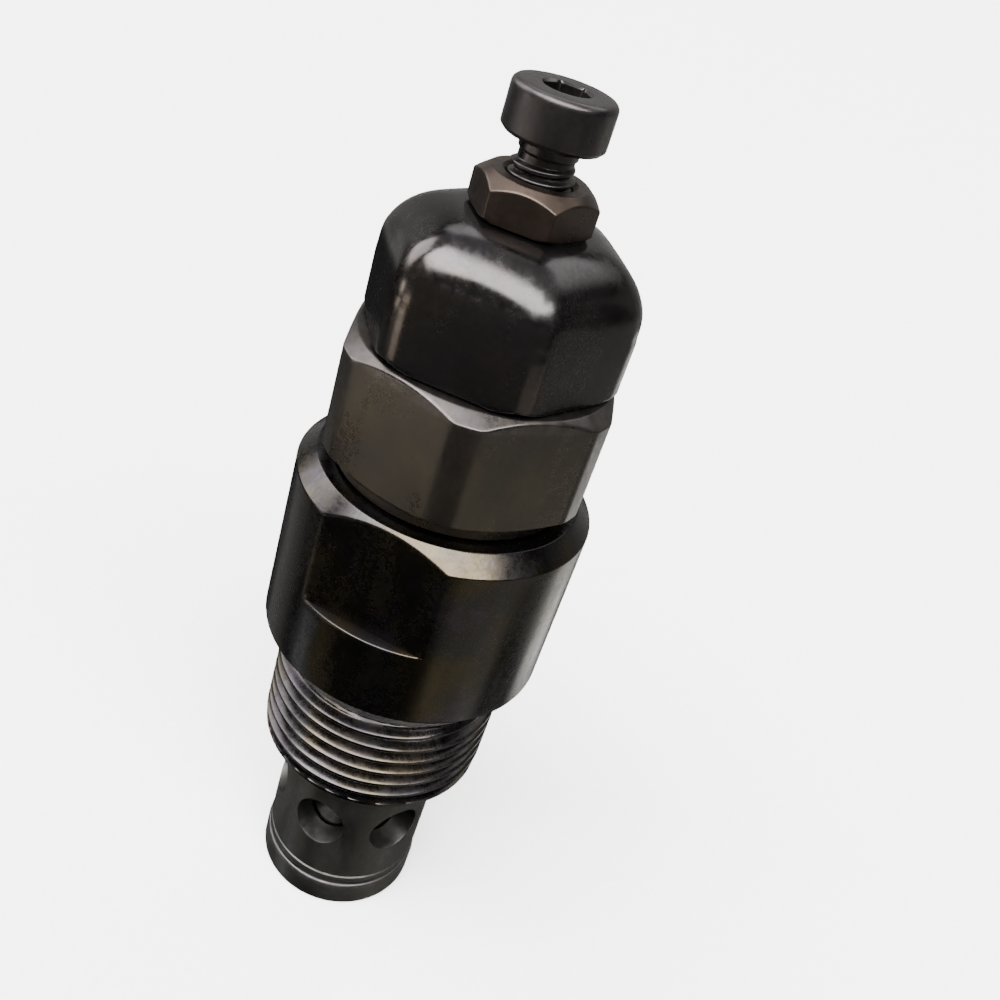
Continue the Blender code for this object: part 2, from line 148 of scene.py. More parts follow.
SLEEVE_LEDGE = 52.3
NOSE_R = 11.9
SLEEVE_BORE_R = 8.2
SEAT_RING_R = 12.15
SEAT_RING_EDGE = 4.5    # top of the ring's visible part
INLET_R = 6.0
PORT_R = 4.1
PORT_Z = 16.9
PORT_COUNT = 6
PORT_PHASE = -1.5
POPPET_R = 7.9
POPPET_NOSE_R = 4.85
POPPET_CONE_TOP = 10.25
POPPET_BORE_R = 5.4
POPPET_FLOOR = 20.0
ORIFICE_R = 2.3
SLEEVE_RECESS_R = 10.2
SLEEVE_RECESS_TOP = 9.5
SLEEVE_FLANGE_R = 13.6
SLEEVE_GROOVE_Z = 6.3
SEAT_SPIGOT_R = 9.9
HOUSING_BORE_R = 7.2
HOUSING_SCREW_R = 13.7  # the screwed stretch inside the body
HOUSING_SPIGOT_R = 11.4
CAP_THROAT_R = 7.4
CAP_THROAT_TOP = 106.6
SOCKET_TURNED_R = 2.55
FLANGE_SEAL_R = 16.15   # middle of the seal's section

# Springs: middle radius, wire radius, turns, and the height at each end that keeps its shape
MAIN_SPRING = (4.1, 0.65, 9, 2.6)
PILOT_SPRING = (4.7, 0.85, 7, 3.4)
PILOT_SPRING_FOOT = 0.7     # room under the pilot spring for the pilot stage's lift

# A thread's profile and its ends, as shares of one pitch or one turn
CREST_PLACE = 0.565     # middle of the crest
FLANK_FOOT = 0.42       # from there to where a flank meets the root
FLANK_RUN = 0.33        # length of a flank
FADE_IN = 0.3
FADE_OUT = 0.5


# ---------------------------------------------------------------- shapes

def heading(angle, radius):
    """A point on a circle around the axis."""
    turn = math.radians(angle)
    return radius * math.sin(turn), -radius * math.cos(turn)


def soft_min(first, second, blend):
    """The smaller of two lengths, rounded over where they cross."""
    share = min(max(0.5 + 0.5 * (second - first) / blend, 0.0), 1.0)
    return second + (first - second) * share - blend * share * (1 - share)


def flat_sided(across_flats, clock, flats):
    """A function of the angle: how far out a prism's sides lie."""
    pitch = 360 / flats

    def reach(angle):
        off_flat = (angle - clock + pitch / 2) % pitch - pitch / 2
        return across_flats / 2 / math.cos(math.radians(off_flat))

    return reach


def filleted(corners, closed=True):
    """An outline of (radius, height, fillet) corners, with each corner rounded."""
    count = len(corners)
    points = []
    for index, (r, z, fillet) in enumerate(corners):
        here = Vector((r, z))
        if fillet == 0 or (not closed and index in (0, count - 1)):
            points.append((r, z))
            continue
        before = Vector(corners[index - 1][:2]) - here
        after = Vector(corners[(index + 1) % count][:2]) - here
        half = before.angle(after) / 2
        reach = min(fillet / math.tan(half), 0.49 * before.length, 0.49 * after.length)
        fillet = reach * math.tan(half)
        middle = (before.normalized() + after.normalized()).normalized()
        centre = here + middle * fillet / math.sin(half)
        start = here + before.normalized() * reach - centre
        end = here + after.normalized() * reach - centre
        sweep = start.angle_signed(end)
        steps = max(3, int(abs(math.degrees(sweep)) / 9))
        for step in range(steps + 1):
            turn = -sweep * step / steps
            x = start.x * math.cos(turn) - start.y * math.sin(turn)
            y = start.x * math.sin(turn) + start.y * math.cos(turn)
            points.append((centre.x + x, centre.y + y))
    return points


def divided(points, longest, low=-1e9, high=1e9, closed=True):
    """The outline with points added, so that no stretch from low to high is over longest."""
    result = []
    count = len(points)
    for index in range(count):
        r, z = points[index]
        result.append((r, z))
        if not closed and index == count - 1:
            break
        next_r, next_z = points[(index + 1) % count]
        if low <= z <= high and low <= next_z <= high:
            pieces = int(math.hypot(next_r - r, next_z - z) / longest)
            for piece in range(1, pieces + 1):
                share = piece / (pieces + 1)
                result.append((r + (next_r - r) * share, z + (next_z - z) * share))
    return result


def bridge(faces, lower, upper):
    """Faces between two rings of vertex numbers; a ring of one number is a point."""
    count = max(len(lower), len(upper))
    for side in range(count):
        after = (side + 1) % count
        corners = []
        for ring, index in ((lower, side), (lower, after), (upper, after), (upper, side)):
            vertex = ring[index % len(ring)]
            if vertex not in corners:
                corners.append(vertex)
        faces.append(corners)


def thread_radius(share, turn, turns):
    """How far a thread stands up, from 0 at its root to 1 at its crest.

    share is the place within one pitch and turn the place along the helix; the thread fades
    in and out at the two ends of the helix.
    """
    off_crest = abs(share - CREST_PLACE)
    flank = min(max((FLANK_FOOT - off_crest) / FLANK_RUN, 0.0), 1.0)
    rise = 0.45 * flank + 0.55 * flank * flank * (3 - 2 * flank)
    return rise * max(0.0, min(1.0, turn / FADE_IN, (turns - turn) / FADE_OUT))


def thread_rows(verts, faces, lower, upper, thread):
    """A helical thread between two rings of vertex numbers.

    The rings stand a whole number of pitches apart. The helix starts on the first ring at
    thread["start"], and under and over it a wedge closes the piece: its height grows from
    nothing to one pitch on the way round. So the last column meets the first one a turn up.
    """
    rows = thread["rows"]
    turns = thread["turns"]
    sides = len(lower)
    offset = round(thread["start"] / 360 * sides)
    last = (turns + 2) * rows
    columns = []
    for side in range(sides):
        share_round = side / sides
        low_ring = lower[(side + offset) % sides]
        high_ring = upper[(side + offset) % sides]
        column = []
        for row in range(last + 1):
            if row <= rows:
                pitches = share_round * row / rows
                rise = 0.0
            elif row <= last - rows:
                pitches = (row - rows) / rows + share_round
                rise = thread_radius(row % rows / rows, row // rows - 1 + share_round, turns)
            else:
                over = (row - last + rows) / rows
                pitches = turns + share_round + (1 - share_round) * over
                rise = 0.0
            if row == 0 or (side == 0 and row <= rows):
                column.append(low_ring)
                continue
            if row == last:
                column.append(high_ring)
                continue
            height = thread["bottom"] + thread["pitch"] * pitches
            core = thread["core"](height)
            radius = max(core, thread["root"] + (thread["crest"] - thread["root"]) * rise)
            x, y = heading(360 * (side + offset) / sides, radius if rise else core)
            column.append(len(verts))
            verts.append((x, y, height))
        columns.append(column)
    first = columns[0]
    columns.append([first[min(row + rows, last)] for row in range(last + 1)])
    for before, after in zip(columns, columns[1:]):
        for row in range(last):
            corners = []
            for vertex in (before[row], after[row], after[row + 1], before[row + 1]):
                if vertex not in corners:
                    corners.append(vertex)
            if len(corners) > 2:
                faces.append(corners)


def turned(outline, sides=SIDES, closed=True, cut=None, thread=None):
    """Vertices and faces of a turned shape.

    cut(angle, radius, height) may pull a point in, as a flat or a hexagon does.
    thread describes a threaded stretch: it begins at the outline's point number
    thread["index"], listed upwards.
    """
    verts = []
    faces = []
    rings = []
    for r, z in outline:
        if r == 0:
            rings.append([len(verts)])
            verts.append((0.0, 0.0, z))
            continue
        ring = []
        for side in range(sides):
            angle = 360 * side / sides
            radius = cut(angle, r, z) if cut else r
            x, y = heading(angle, radius)
            ring.append(len(verts))
            verts.append((x, y, z))
        rings.append(ring)
    stretches = len(outline) if closed else len(outline) - 1
    for index in range(stretches):
        following = (index + 1) % len(outline)
        if thread and index == thread["index"]:
            thread_rows(verts, faces, rings[index], rings[following], thread)
        else:
            bridge(faces, rings[index], rings[following])
    return verts, faces


def threaded_at(outline, bottom):
    """The number of the outline's point at that height where a thread begins."""
    return next(i for i, (r, z) in enumerate(outline) if abs(z - bottom) < 1e-6)


def make_piece(name, shape, finish, sharp=35.0):
    verts, faces = shape
    mesh = bpy.data.meshes.new(name)
    mesh.from_pydata([(x * MM, y * MM, z * MM) for x, y, z in verts], [], faces)
    builder = bmesh.new()
    builder.from_mesh(mesh)
    bmesh.ops.recalc_face_normals(builder, faces=builder.faces)
    builder.to_mesh(mesh)
    builder.free()
    mesh.materials.append(finish)
    mesh.shade_smooth()
    mesh.set_sharp_from_angle(angle=math.radians(sharp))
    piece = bpy.data.objects.new(name, mesh)
    bpy.context.scene.collection.objects.link(piece)
    return piece


def stand_for(piece, body, node):
    """The piece takes a CAD node's place, and rides on its body."""
    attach(piece, body)
    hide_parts(node)


def cut_away(piece, cutters):
    """Cut shapes out of a piece for good, and remove the cutters."""
    for cutter in cutters:
        modifier = piece.modifiers.new("cut", "BOOLEAN")
        modifier.operation = "DIFFERENCE"
        modifier.solver = "EXACT"
        modifier.object = cutter
    graph = bpy.context.evaluated_depsgraph_get()
    mesh = bpy.data.meshes.new_from_object(piece.evaluated_get(graph))
    piece.modifiers.clear()
    old = piece.data
    piece.data = mesh
    bpy.data.meshes.remove(old)
    for cutter in cutters:
        bpy.data.objects.remove(cutter, do_unlink=True)


# ---------------------------------------------------------------- finishes

class Nodes:
    """A short way to write a material's node tree."""

    def __init__(self, name):
        self.material = bpy.data.materials.new(name)
        self.material.use_nodes = True
        self.tree = self.material.node_tree
        self.shader = self.tree.nodes["Principled BSDF"]
        self.place = self.add("ShaderNodeTexCoord").outputs["Object"]
        split = self.add("ShaderNodeSeparateXYZ", Vector=self.place)
        self.height = self.maths("DIVIDE", split.outputs["Z"], MM)

    def add(self, kind, **inputs):
        node = self.tree.nodes.new(kind)
        for key, value in inputs.items():
            self.set(node.inputs[key], value)
        return node

    def set(self, socket, value):
        if isinstance(value, bpy.types.NodeSocket):
            self.tree.links.new(value, socket)
        else:
            socket.default_value = value

    def noise(self, scale, detail=4.0, roughness=0.55, stretch=(1, 1, 1)):
        """Noise over the object, with scale in features per millimetre."""
        mapping = self.add("ShaderNodeMapping", Vector=self.place)
        mapping.inputs["Scale"].default_value = [scale * s / MM for s in stretch]
        node = self.add("ShaderNodeTexNoise", Vector=mapping.outputs["Vector"])
        node.inputs["Scale"].default_value = 1.0
        node.inputs["Detail"].default_value = detail
        node.inputs["Roughness"].default_value = roughness
        return node.outputs["Fac"]

    def ramp(self, value, low, high, out_low=0.0, out_high=1.0):
        node = self.tree.nodes.new("ShaderNodeMapRange")
        node.interpolation_type = "SMOOTHSTEP"
        for socket, number in zip(node.inputs[:5], (value, low, high, out_low, out_high)):
            self.set(socket, number)
        return node.outputs["Result"]

    def maths(self, operation, first, second=0.0):
        node = self.tree.nodes.new("ShaderNodeMath")
        node.operation = operation
        self.set(node.inputs[0], first)
        self.set(node.inputs[1], second)
        return node.outputs["Value"]

    def mix(self, factor, first, second):
        node = self.tree.nodes.new("ShaderNodeMix")
        node.data_type = "RGBA"
        self.set(node.inputs["Factor"], factor)
        for socket, colour in ((node.inputs[6], first), (node.inputs[7], second)):
            self.set(socket, (*colour, 1.0) if isinstance(colour, tuple) else colour)
        return node.outputs[2]

    def bump(self, height, depth, strength=1.0, below=None):
        """depth is in millimetres."""
        node = self.add("ShaderNodeBump", Height=height)
        node.inputs["Strength"].default_value = strength
        node.inputs["Distance"].default_value = depth * MM
        if below is not None:
            self.set(node.inputs["Normal"], below)
        return node.outputs["Normal"]

    def finish(self, **inputs):
        for key, value in inputs.items():
            socket = self.shader.inputs[key.replace("_", " ")]
            if isinstance(value, tuple) and len(value) == 3:
                value = (*value, 1.0)
            self.set(socket, value)
        return self.material


def dark_steel(name, base, warm, cool, rough, marks=0.004, patches=0.6, worn=(),
               metal=0.95):
    """Oiled oxide on steel: mottled colours, lathe marks, smears and fine pits.

    worn lists (bottom, top, amount, colour): stretches of the axis rubbed brighter.
    """
    n = Nodes(name)
    broad = n.noise(0.09, detail=5.0)
    other = n.noise(0.16, detail=6.0, roughness=0.65)
    fine = n.noise(1.6, detail=3.0)
    rings = n.noise(2.2, detail=2.0, stretch=(0.02, 0.02, 1.0))
    smear = n.noise(0.22, detail=4.0, stretch=(1.0, 1.0, 0.35))
    pits = n.noise(5.0, detail=2.0)
    colour = n.mix(n.maths("MULTIPLY", n.ramp(broad, 0.44, 0.66), patches), base, warm)
    colour = n.mix(n.maths("MULTIPLY", n.ramp(other, 0.50, 0.72), patches), colour, cool)
    for bottom, top, amount, rubbed in worn:
        zone = n.maths("MULTIPLY", n.ramp(n.height, bottom, bottom + 0.8),
                       n.ramp(n.height, top, top - 0.8))
        patchy = n.ramp(n.noise(0.5, detail=6.0, roughness=0.6), 0.30, 0.70)
        colour = n.mix(n.maths("MULTIPLY", n.maths("MULTIPLY", zone, patchy), amount),
                       colour, rubbed)
    colour = n.mix(n.ramp(pits, 0.66, 0.74), colour, tuple(0.6 * channel for channel in base))
    roughness = n.ramp(smear, 0.3, 0.7, rough * 0.75, rough * 1.3)
    roughness = n.maths("ADD", roughness, n.ramp(fine, 0.3, 0.7, -0.03, 0.05))
    bumps = n.bump(rings, marks)
    bumps = n.bump(fine, 0.005, below=bumps)
    return n.finish(Base_Color=colour, Roughness=roughness, Metallic=metal, Normal=bumps)


def bright_steel(name, base, rough):
    """Ground steel under a film of oil, with fine rings around the axis."""
    n = Nodes(name)
    rings = n.noise(3.0, detail=2.0, stretch=(0.02, 0.02, 1.0))
    broad = n.noise(0.3)
    shade = tuple(channel * 0.7 for channel in base)
    colour = n.mix(n.ramp(broad, 0.35, 0.7), base, shade)
    roughness = n.ramp(rings, 0.3, 0.7, rough * 0.8, rough * 1.3)
    return n.finish(Base_Color=colour, Roughness=roughness, Metallic=1.0,
                    Normal=n.bump(rings, 0.004))


def rubber(name):
    """Moulded black rubber, mottled and slightly uneven."""
    n = Nodes(name)
    fine = n.noise(3.0, detail=4.0)
    broad = n.noise(0.4)
    colour = n.mix(n.ramp(broad, 0.35, 0.7), (0.010, 0.010, 0.011), (0.022, 0.021, 0.020))
    roughness = n.ramp(fine, 0.3, 0.7, 0.30, 0.48)
    return n.finish(Base_Color=colour, Roughness=roughness, Normal=n.bump(fine, 0.01))


def ptfe(name):
    """Off-white backup ring plastic with turning marks."""
    n = Nodes(name)
    rings = n.noise(2.0, detail=2.0, stretch=(0.05, 0.05, 1.0))
    broad = n.noise(0.3)
    colour = n.mix(n.ramp(broad, 0.3, 0.7), (0.80, 0.79, 0.75), (0.70, 0.68, 0.62))
    return n.finish(Base_Color=colour, Roughness=n.ramp(rings, 0.3, 0.7, 0.42, 0.55),
                    Normal=n.bump(rings, 0.006))


def make_finishes():
    """A material for each of the record's slots."""
    rubbed = (0.085, 0.076, 0.086)
    return {
        "body_black": dark_steel("body_black", (0.021, 0.020, 0.020), (0.040, 0.032, 0.015),
                                 (0.034, 0.028, 0.038), 0.24,
                                 worn=((28.5, 44.5, 0.14, rubbed), (74.4, 78.5, 0.05, rubbed)),
                                 metal=0.985),
        "cap_black": dark_steel("cap_black", (0.026, 0.025, 0.025), (0.038, 0.032, 0.026),
                                (0.034, 0.030, 0.034), 0.20, marks=0.002, metal=0.955),
        "housing_olive": dark_steel("housing_olive", (0.034, 0.031, 0.027),
                                    (0.044, 0.038, 0.028), (0.032, 0.030, 0.029), 0.32,
                                    worn=((93.0, 96.5, 0.3, rubbed),)),
        "nut_brown": dark_steel("nut_brown", (0.033, 0.025, 0.020), (0.042, 0.031, 0.023),
                                (0.027, 0.023, 0.022), 0.37, marks=0.002),
        "screw_black": dark_steel("screw_black", (0.032, 0.029, 0.029), (0.044, 0.038, 0.036),
                                  (0.032, 0.028, 0.036), 0.34, marks=0.002),
        "nose_steel": dark_steel("nose_steel", (0.036, 0.036, 0.034), (0.045, 0.042, 0.036),
                                 (0.033, 0.033, 0.035), 0.42, marks=0.002,
                                 worn=((3.2, 5.0, 0.5, rubbed),)),
        "bright_steel": bright_steel("bright_steel", (0.13, 0.127, 0.12), 0.24),
        "spring_steel": bright_steel("spring_steel", (0.24, 0.24, 0.25), 0.30),
        "black_rubber": rubber("black_rubber"),
        "white_ptfe": ptfe("white_ptfe"),
    }


FINISHES = make_finishes()


def finish_hidden_nodes():
    """Each CAD node that stays takes its slot's full material."""
    for entry in frame["record"]["subparts"]:
        node = frame["nodes"][entry["node"]]
        node.data.materials.clear()
        node.data.materials.append(FINISHES[entry["material_slot"]])


# ---------------------------------------------------------------- pieces

def adjusting_screw():
    """Low-head socket screw: rounded rim, plain neck, and a thread below it."""
    bottom = SCREW_TIP + 0.7
    turns = int((NECK_BOTTOM - bottom) / SCREW_PITCH) - 1
    top = bottom + (turns + 1) * SCREW_PITCH
    socket_bottom = HEAD_TOP - SOCKET_DEPTH
    socket_corner_r = 2.95
    outline = filleted([
        (0.0, SCREW_TIP, 0),
        (2.6, SCREW_TIP, 0.1),
        (SCREW_ROOT_R, bottom, 0),
        (SCREW_ROOT_R, top, 0),
        (SCREW_ROOT_R, NECK_BOTTOM, 0),
        (NECK_R, NECK_BOTTOM + 0.35, 0.1),
        (NECK_R, HEAD_BOTTOM, 0.6),
        (HEAD_R - 0.5, HEAD_BOTTOM, 0.2),
        (HEAD_R, HEAD_BOTTOM + 0.5, 0.3),
        (HEAD_R, HEAD_TOP, 0.9),
        (socket_corner_r, HEAD_TOP, 0.12),
        (SOCKET_TURNED_R, HEAD_TOP - 0.25, 0.0),
        (SOCKET_TURNED_R, socket_bottom + 0.9, 0.0),
        (0.0, socket_bottom, 0),
    ], closed=False)
    thread = {
        "index": threaded_at(outline, bottom), "bottom": bottom, "turns": turns, "rows": 16,
        "pitch": SCREW_PITCH, "root": SCREW_ROOT_R, "crest": SCREW_CREST_R, "start": 180,
        "core": lambda height: SCREW_ROOT_R,
    }
    socket_reach = flat_sided(SOCKET_AF, NUT_CLOCK, 6)

    def cut(angle, radius, height):
        if 2.0 < radius < 2.7 and socket_bottom < height < HEAD_TOP - 0.2:
            return min(socket_reach(angle), socket_corner_r)
        return radius

    shape = turned(outline, SMALL_SIDES, closed=False, cut=cut, thread=thread)
    piece = make_piece("screw_socket_head", shape, FINISHES["screw_black"])
    stand_for(piece, "adjusting_screw", "adjusting_screw")


def lock_nut():
    """A hexagon nut whose upper corners are turned away, with a countersunk bore."""
    corner_r = NUT_HEX / 2 / math.cos(math.pi / 6)
    crown_r = 5.75
    chamfer = 1.7
    outline = filleted([
        (NUT_BORE_R, NUT_BOTTOM, 0),
        (corner_r - 0.5, NUT_BOTTOM, 0.1),
        (corner_r + 0.05, NUT_BOTTOM + 0.35, 0.1),
        (corner_r + 0.2, NUT_TOP - chamfer, 0.1),
        (crown_r, NUT_TOP, 0.3),
        (NUT_BORE_R + 0.5, NUT_TOP, 0.1),
        (NUT_BORE_R, NUT_TOP - 0.5, 0),
    ])
    outline = divided(outline, 0.08, NUT_TOP - chamfer - 0.1, NUT_TOP)
    outline = divided(outline, 0.4)
    reach = flat_sided(NUT_HEX, NUT_CLOCK, 6)

    def cut(angle, radius, height):
        return soft_min(radius, reach(angle), 0.2) if radius > crown_r + 0.3 else radius

    piece = make_piece("nut_chamfered", turned(outline, SIDES, cut=cut), FINISHES["nut_brown"])
    stand_for(piece, "lock_nut", "lock_nut")


def rounded_hexagon(across_flats, corner_r, clock, corner_steps=12, flat_steps=10):
    """Points of a hexagon with arcs for corners, evenly enough spaced to shade smoothly."""
    centre_r = (across_flats / 2 - corner_r) / math.cos(math.pi / 6)
    half = centre_r * math.sin(math.pi / 6)
    points = []
    for corner in range(6):
        flat = clock + 60 * corner
        out_x, out_y = heading(flat, across_flats / 2)
        side_x, side_y = heading(flat + 90, 1.0)
        for step in range(flat_steps):
            along = half * (2 * step / flat_steps - 1)
            points.append((out_x + side_x * along, out_y + side_y * along))
        centre_x, centre_y = heading(flat + 30, centre_r)
        for step in range(corner_steps):
            x, y = heading(flat + 60 * step / corner_steps, corner_r)
            points.append((centre_x + x, centre_y + y))
    return points


def cap():
    """Soft-cornered hexagon that runs into the turned dome, with a stepped bore."""
    chamfer = 0.7
    wall_steps = 10
    dome_steps = 56
    straight_top = CAP_TOP - DOME_RISE
    corner_reach = CAP_CORNER_R + (CAP_HEX / 2 - CAP_CORNER_R) / math.cos(math.pi / 6)

    def turned_limit(height):
        """The radius of the turned outline that the hexagon is cut down to."""
        if height < CAP_BOTTOM + chamfer:
            return DOME_R - chamfer + height - CAP_BOTTOM
        share = min(max((height - straight_top) / DOME_RISE, 0.0), 1.0)
        below = min(max(straight_top - height, 0.0) * 0.5, 0.6)
        return DOME_R - DOME_ROLL * (1 - math.sqrt(1 - share * share)) + below

    heights = [CAP_BOTTOM + chamfer * step / 6 for step in range(7)]
    wall_bottom = CAP_BOTTOM + 1.0
    heights += [wall_bottom + (straight_top - wall_bottom) * step / wall_steps
                for step in range(wall_steps + 1)]
    heights += [straight_top + DOME_RISE * math.sin(math.pi / 2 * step / dome_steps)
                for step in range(1, dome_steps + 1)]
    verts = []
    faces = []
    rings = []
    outline = rounded_hexagon(CAP_HEX, CAP_CORNER_R, CAP_CLOCK)
    for height in heights:
        ring = []
        to_top = min((CAP_TOP - height) / 5, 1.0)      # 0 at the top, 1 well below it
        for x, y in outline:
            reach = math.hypot(x, y)
            # 0 at a corner's middle, 1 at a flat's: the dome comes down further on a flat
            on_flat = (corner_reach - reach) / (corner_reach - CAP_HEX / 2)
            dome = height > CAP_BOTTOM + 3
            lowered = 1.9 * on_flat * to_top if dome else 0.0
            blend = 0.5 + 1.7 * on_flat * to_top if dome else 0.25
            scale = soft_min(turned_limit(height + lowered), reach, blend) / reach
            ring.append(len(verts))
            verts.append((x * scale, y * scale, height))
        rings.append(ring)
    count = len(outline)
    for radius, height in ((NUT_BORE_R + 0.6, CAP_TOP), (NUT_BORE_R + 0.25, CAP_TOP - 0.3),
                           (NUT_BORE_R + 0.25, CAP_THROAT_TOP),
                           (CAP_THROAT_R, CAP_THROAT_TOP), (CAP_THROAT_R, SPIGOT_TOP + 0.4),
                           (CAP_CAVITY_R, SPIGOT_TOP + 0.4), (CAP_CAVITY_R, CAP_BOTTOM)):
        ring = []
        for side in range(count):
            x, y = heading(CAP_CLOCK - 30 + 360 * side / count, radius)
            ring.append(len(verts))
            verts.append((x, y, height))
        rings.append(ring)
    for lower, upper in zip(rings, rings[1:] + rings[:1]):
        bridge(faces, lower, upper)
    piece = make_piece("cap_domed_hexagon", (verts, faces), FINISHES["cap_black"], sharp=50)
    stand_for(piece, "valve", "cap")


def housing():
    """Spring housing: collar, hexagon with turned corners, and the spigots at both ends."""
    corner = 0.9
    outline = filleted([
        (HOUSING_BORE_R, HOUSING_BOTTOM, 0),
        (HOUSING_SCREW_R - 0.5, HOUSING_BOTTOM, 0),
        (HOUSING_SCREW_R, HOUSING_BOTTOM + 0.5, 0),
        (HOUSING_SCREW_R, COLLAR_BOTTOM, 0),
        (COLLAR_R, COLLAR_BOTTOM, 0.2),
        (COLLAR_R, HEX_BOTTOM, 0.4),
        (HOUSING_HEX / 2 - 0.1, HEX_BOTTOM, 0.25),
        (HOUSING_TURNED_R, HEX_BOTTOM + corner, 0.3),
        (HOUSING_TURNED_R, HEX_TOP - HOUSING_CHAMFER, 0.35),
        (HOUSING_CROWN_R, HEX_TOP, 0.35),
        (HOUSING_SPIGOT_R, HEX_TOP, 0),
        (HOUSING_SPIGOT_R, SPIGOT_TOP, 0),
        (HOUSING_BORE_R, SPIGOT_TOP, 0),
    ])
    outline = divided(outline, 0.12, HEX_BOTTOM - 0.01, HEX_BOTTOM + 1.6)
    outline = divided(outline, 0.12, HEX_TOP - 2.0, HEX_TOP + 0.01)
    outline = divided(outline, 1.2, HEX_BOTTOM - 0.01, HEX_TOP + 0.01)
    reach = flat_sided(HOUSING_HEX, HOUSING_CLOCK, 6)

    def cut(angle, radius, height):
        return soft_min(radius, reach(angle), 0.3) if radius > COLLAR_R + 0.2 else radius

    piece = make_piece("housing_hexagon", turned(outline, FLATTED_SIDES, cut=cut),
                       FINISHES["housing_olive"])
    stand_for(piece, "valve", "housing")


def valve_body():
    """Round body with two milled flats, a chamfered top, a relief and the nose thread."""
    edge = 1.6
    top = 2.3
    turns = 6
    thread_end = BODY_BOTTOM + (turns + 1) * THREAD_PITCH
    core_heights = (BODY_BOTTOM, BODY_BOTTOM + 0.3, BODY_BOTTOM + 0.75, BODY_BOTTOM + 1.1,
                    THREAD_TOP, THREAD_TOP + 0.3)
    core_radii = (THREAD_RIM_R - 0.3, THREAD_RIM_R, THREAD_RIM_R, THREAD_ROOT_R,
                  THREAD_ROOT_R, RELIEF_R)
    thread = {
        "bottom": BODY_BOTTOM, "turns": turns, "rows": 24, "pitch": THREAD_PITCH,
        "root": THREAD_ROOT_R, "crest": THREAD_CREST_R, "start": 185,
        "core": lambda height: float(np.interp(height, core_heights, core_radii)),
    }
    outline = filleted([
        (BODY_BORE_R + 0.5, BODY_BOTTOM, 0),
        (THREAD_RIM_R - 0.3, BODY_BOTTOM, 0),
        (RELIEF_R, thread_end, 0),
        (RELIEF_R, SHOULDER, 0.5),
        (BODY_R - edge, SHOULDER, 0.3),
        (BODY_R, SHOULDER + edge, 0.5),
        (BODY_R, FLATS_BOTTOM - 0.3, 0),
        (BODY_R, FLATS_BOTTOM - 0.2, 0),
        (BODY_R, FLATS_BOTTOM - 0.12, 0),
        (BODY_R, FLATS_BOTTOM - 0.06, 0),
        (BODY_R, FLATS_BOTTOM - 0.02, 0),
        (BODY_R, FLATS_BOTTOM, 0),
        (BODY_R, FLATS_BOTTOM + 0.01, 0),
        (BODY_R, BODY_TOP - top, 0.3),
        (BODY_R - top, BODY_TOP, 0.3),
        (BODY_CHAMBER_R, BODY_TOP, 0.2),
        (BODY_CHAMBER_R, SLEEVE_LEDGE - 0.3, 0),
        (BODY_BORE_R, SLEEVE_LEDGE - 0.3, 0),
        (BODY_BORE_R, BODY_BOTTOM + 0.5, 0),
    ])
    outline = divided(outline, 0.12, BODY_TOP - top - 0.6, BODY_TOP + 0.01)
    outline = divided(outline, 1.5, SHOULDER + edge, BODY_TOP)
    thread["index"] = threaded_at(outline, BODY_BOTTOM) + 1
    reach = flat_sided(BODY_FLATS, 0.0, 2)

    ledge_round = 0.3

    def cut(angle, radius, height):
        off_flat = (angle + 90) % 180 - 90
        if abs(off_flat) > 40 or radius < BODY_FLATS / 2 - 0.6:
            return radius
        if height > FLATS_BOTTOM:
            return soft_min(radius, reach(angle), 0.14)
        into_round = height - FLATS_BOTTOM + ledge_round
        if into_round < 0:
            return radius
        drop = ledge_round - math.sqrt(max(ledge_round ** 2 - into_round ** 2, 0.0))
        return soft_min(radius, max(radius - drop, reach(angle)), 0.02)

    shape = turned(outline, FLATTED_SIDES, cut=cut, thread=thread)
    piece = make_piece("body_turned", shape, FINISHES["body_black"])
    stand_for(piece, "valve", "valve_body")


def port_cutter(index, flare):
    """A round cutter through the sleeve's wall, flared where it breaks the surface."""
    angle = PORT_PHASE + 360 * index / PORT_COUNT
    sides = 64
    verts = []
    rings = []
    for radius_out, port_r in ((6.0, PORT_R), (NOSE_R - 0.45, PORT_R),
                               (NOSE_R + 0.6, PORT_R + flare), (NOSE_R + 3, PORT_R + flare)):
        ring = []
        for side in range(sides):
            around = 2 * math.pi * side / sides
            out_x, out_y = heading(angle, radius_out)
            side_x, side_y = heading(angle + 90, port_r * math.cos(around))
            ring.append(len(verts))
            verts.append((out_x + side_x, out_y + side_y, PORT_Z + port_r * math.sin(around)))
        rings.append(ring)
    faces = [rings[0], rings[-1]]
    for near, far in zip(rings, rings[1:]):
        bridge(faces, near, far)
    return make_piece(f"port_cutter_{index}", (verts, faces), FINISHES["nose_steel"])


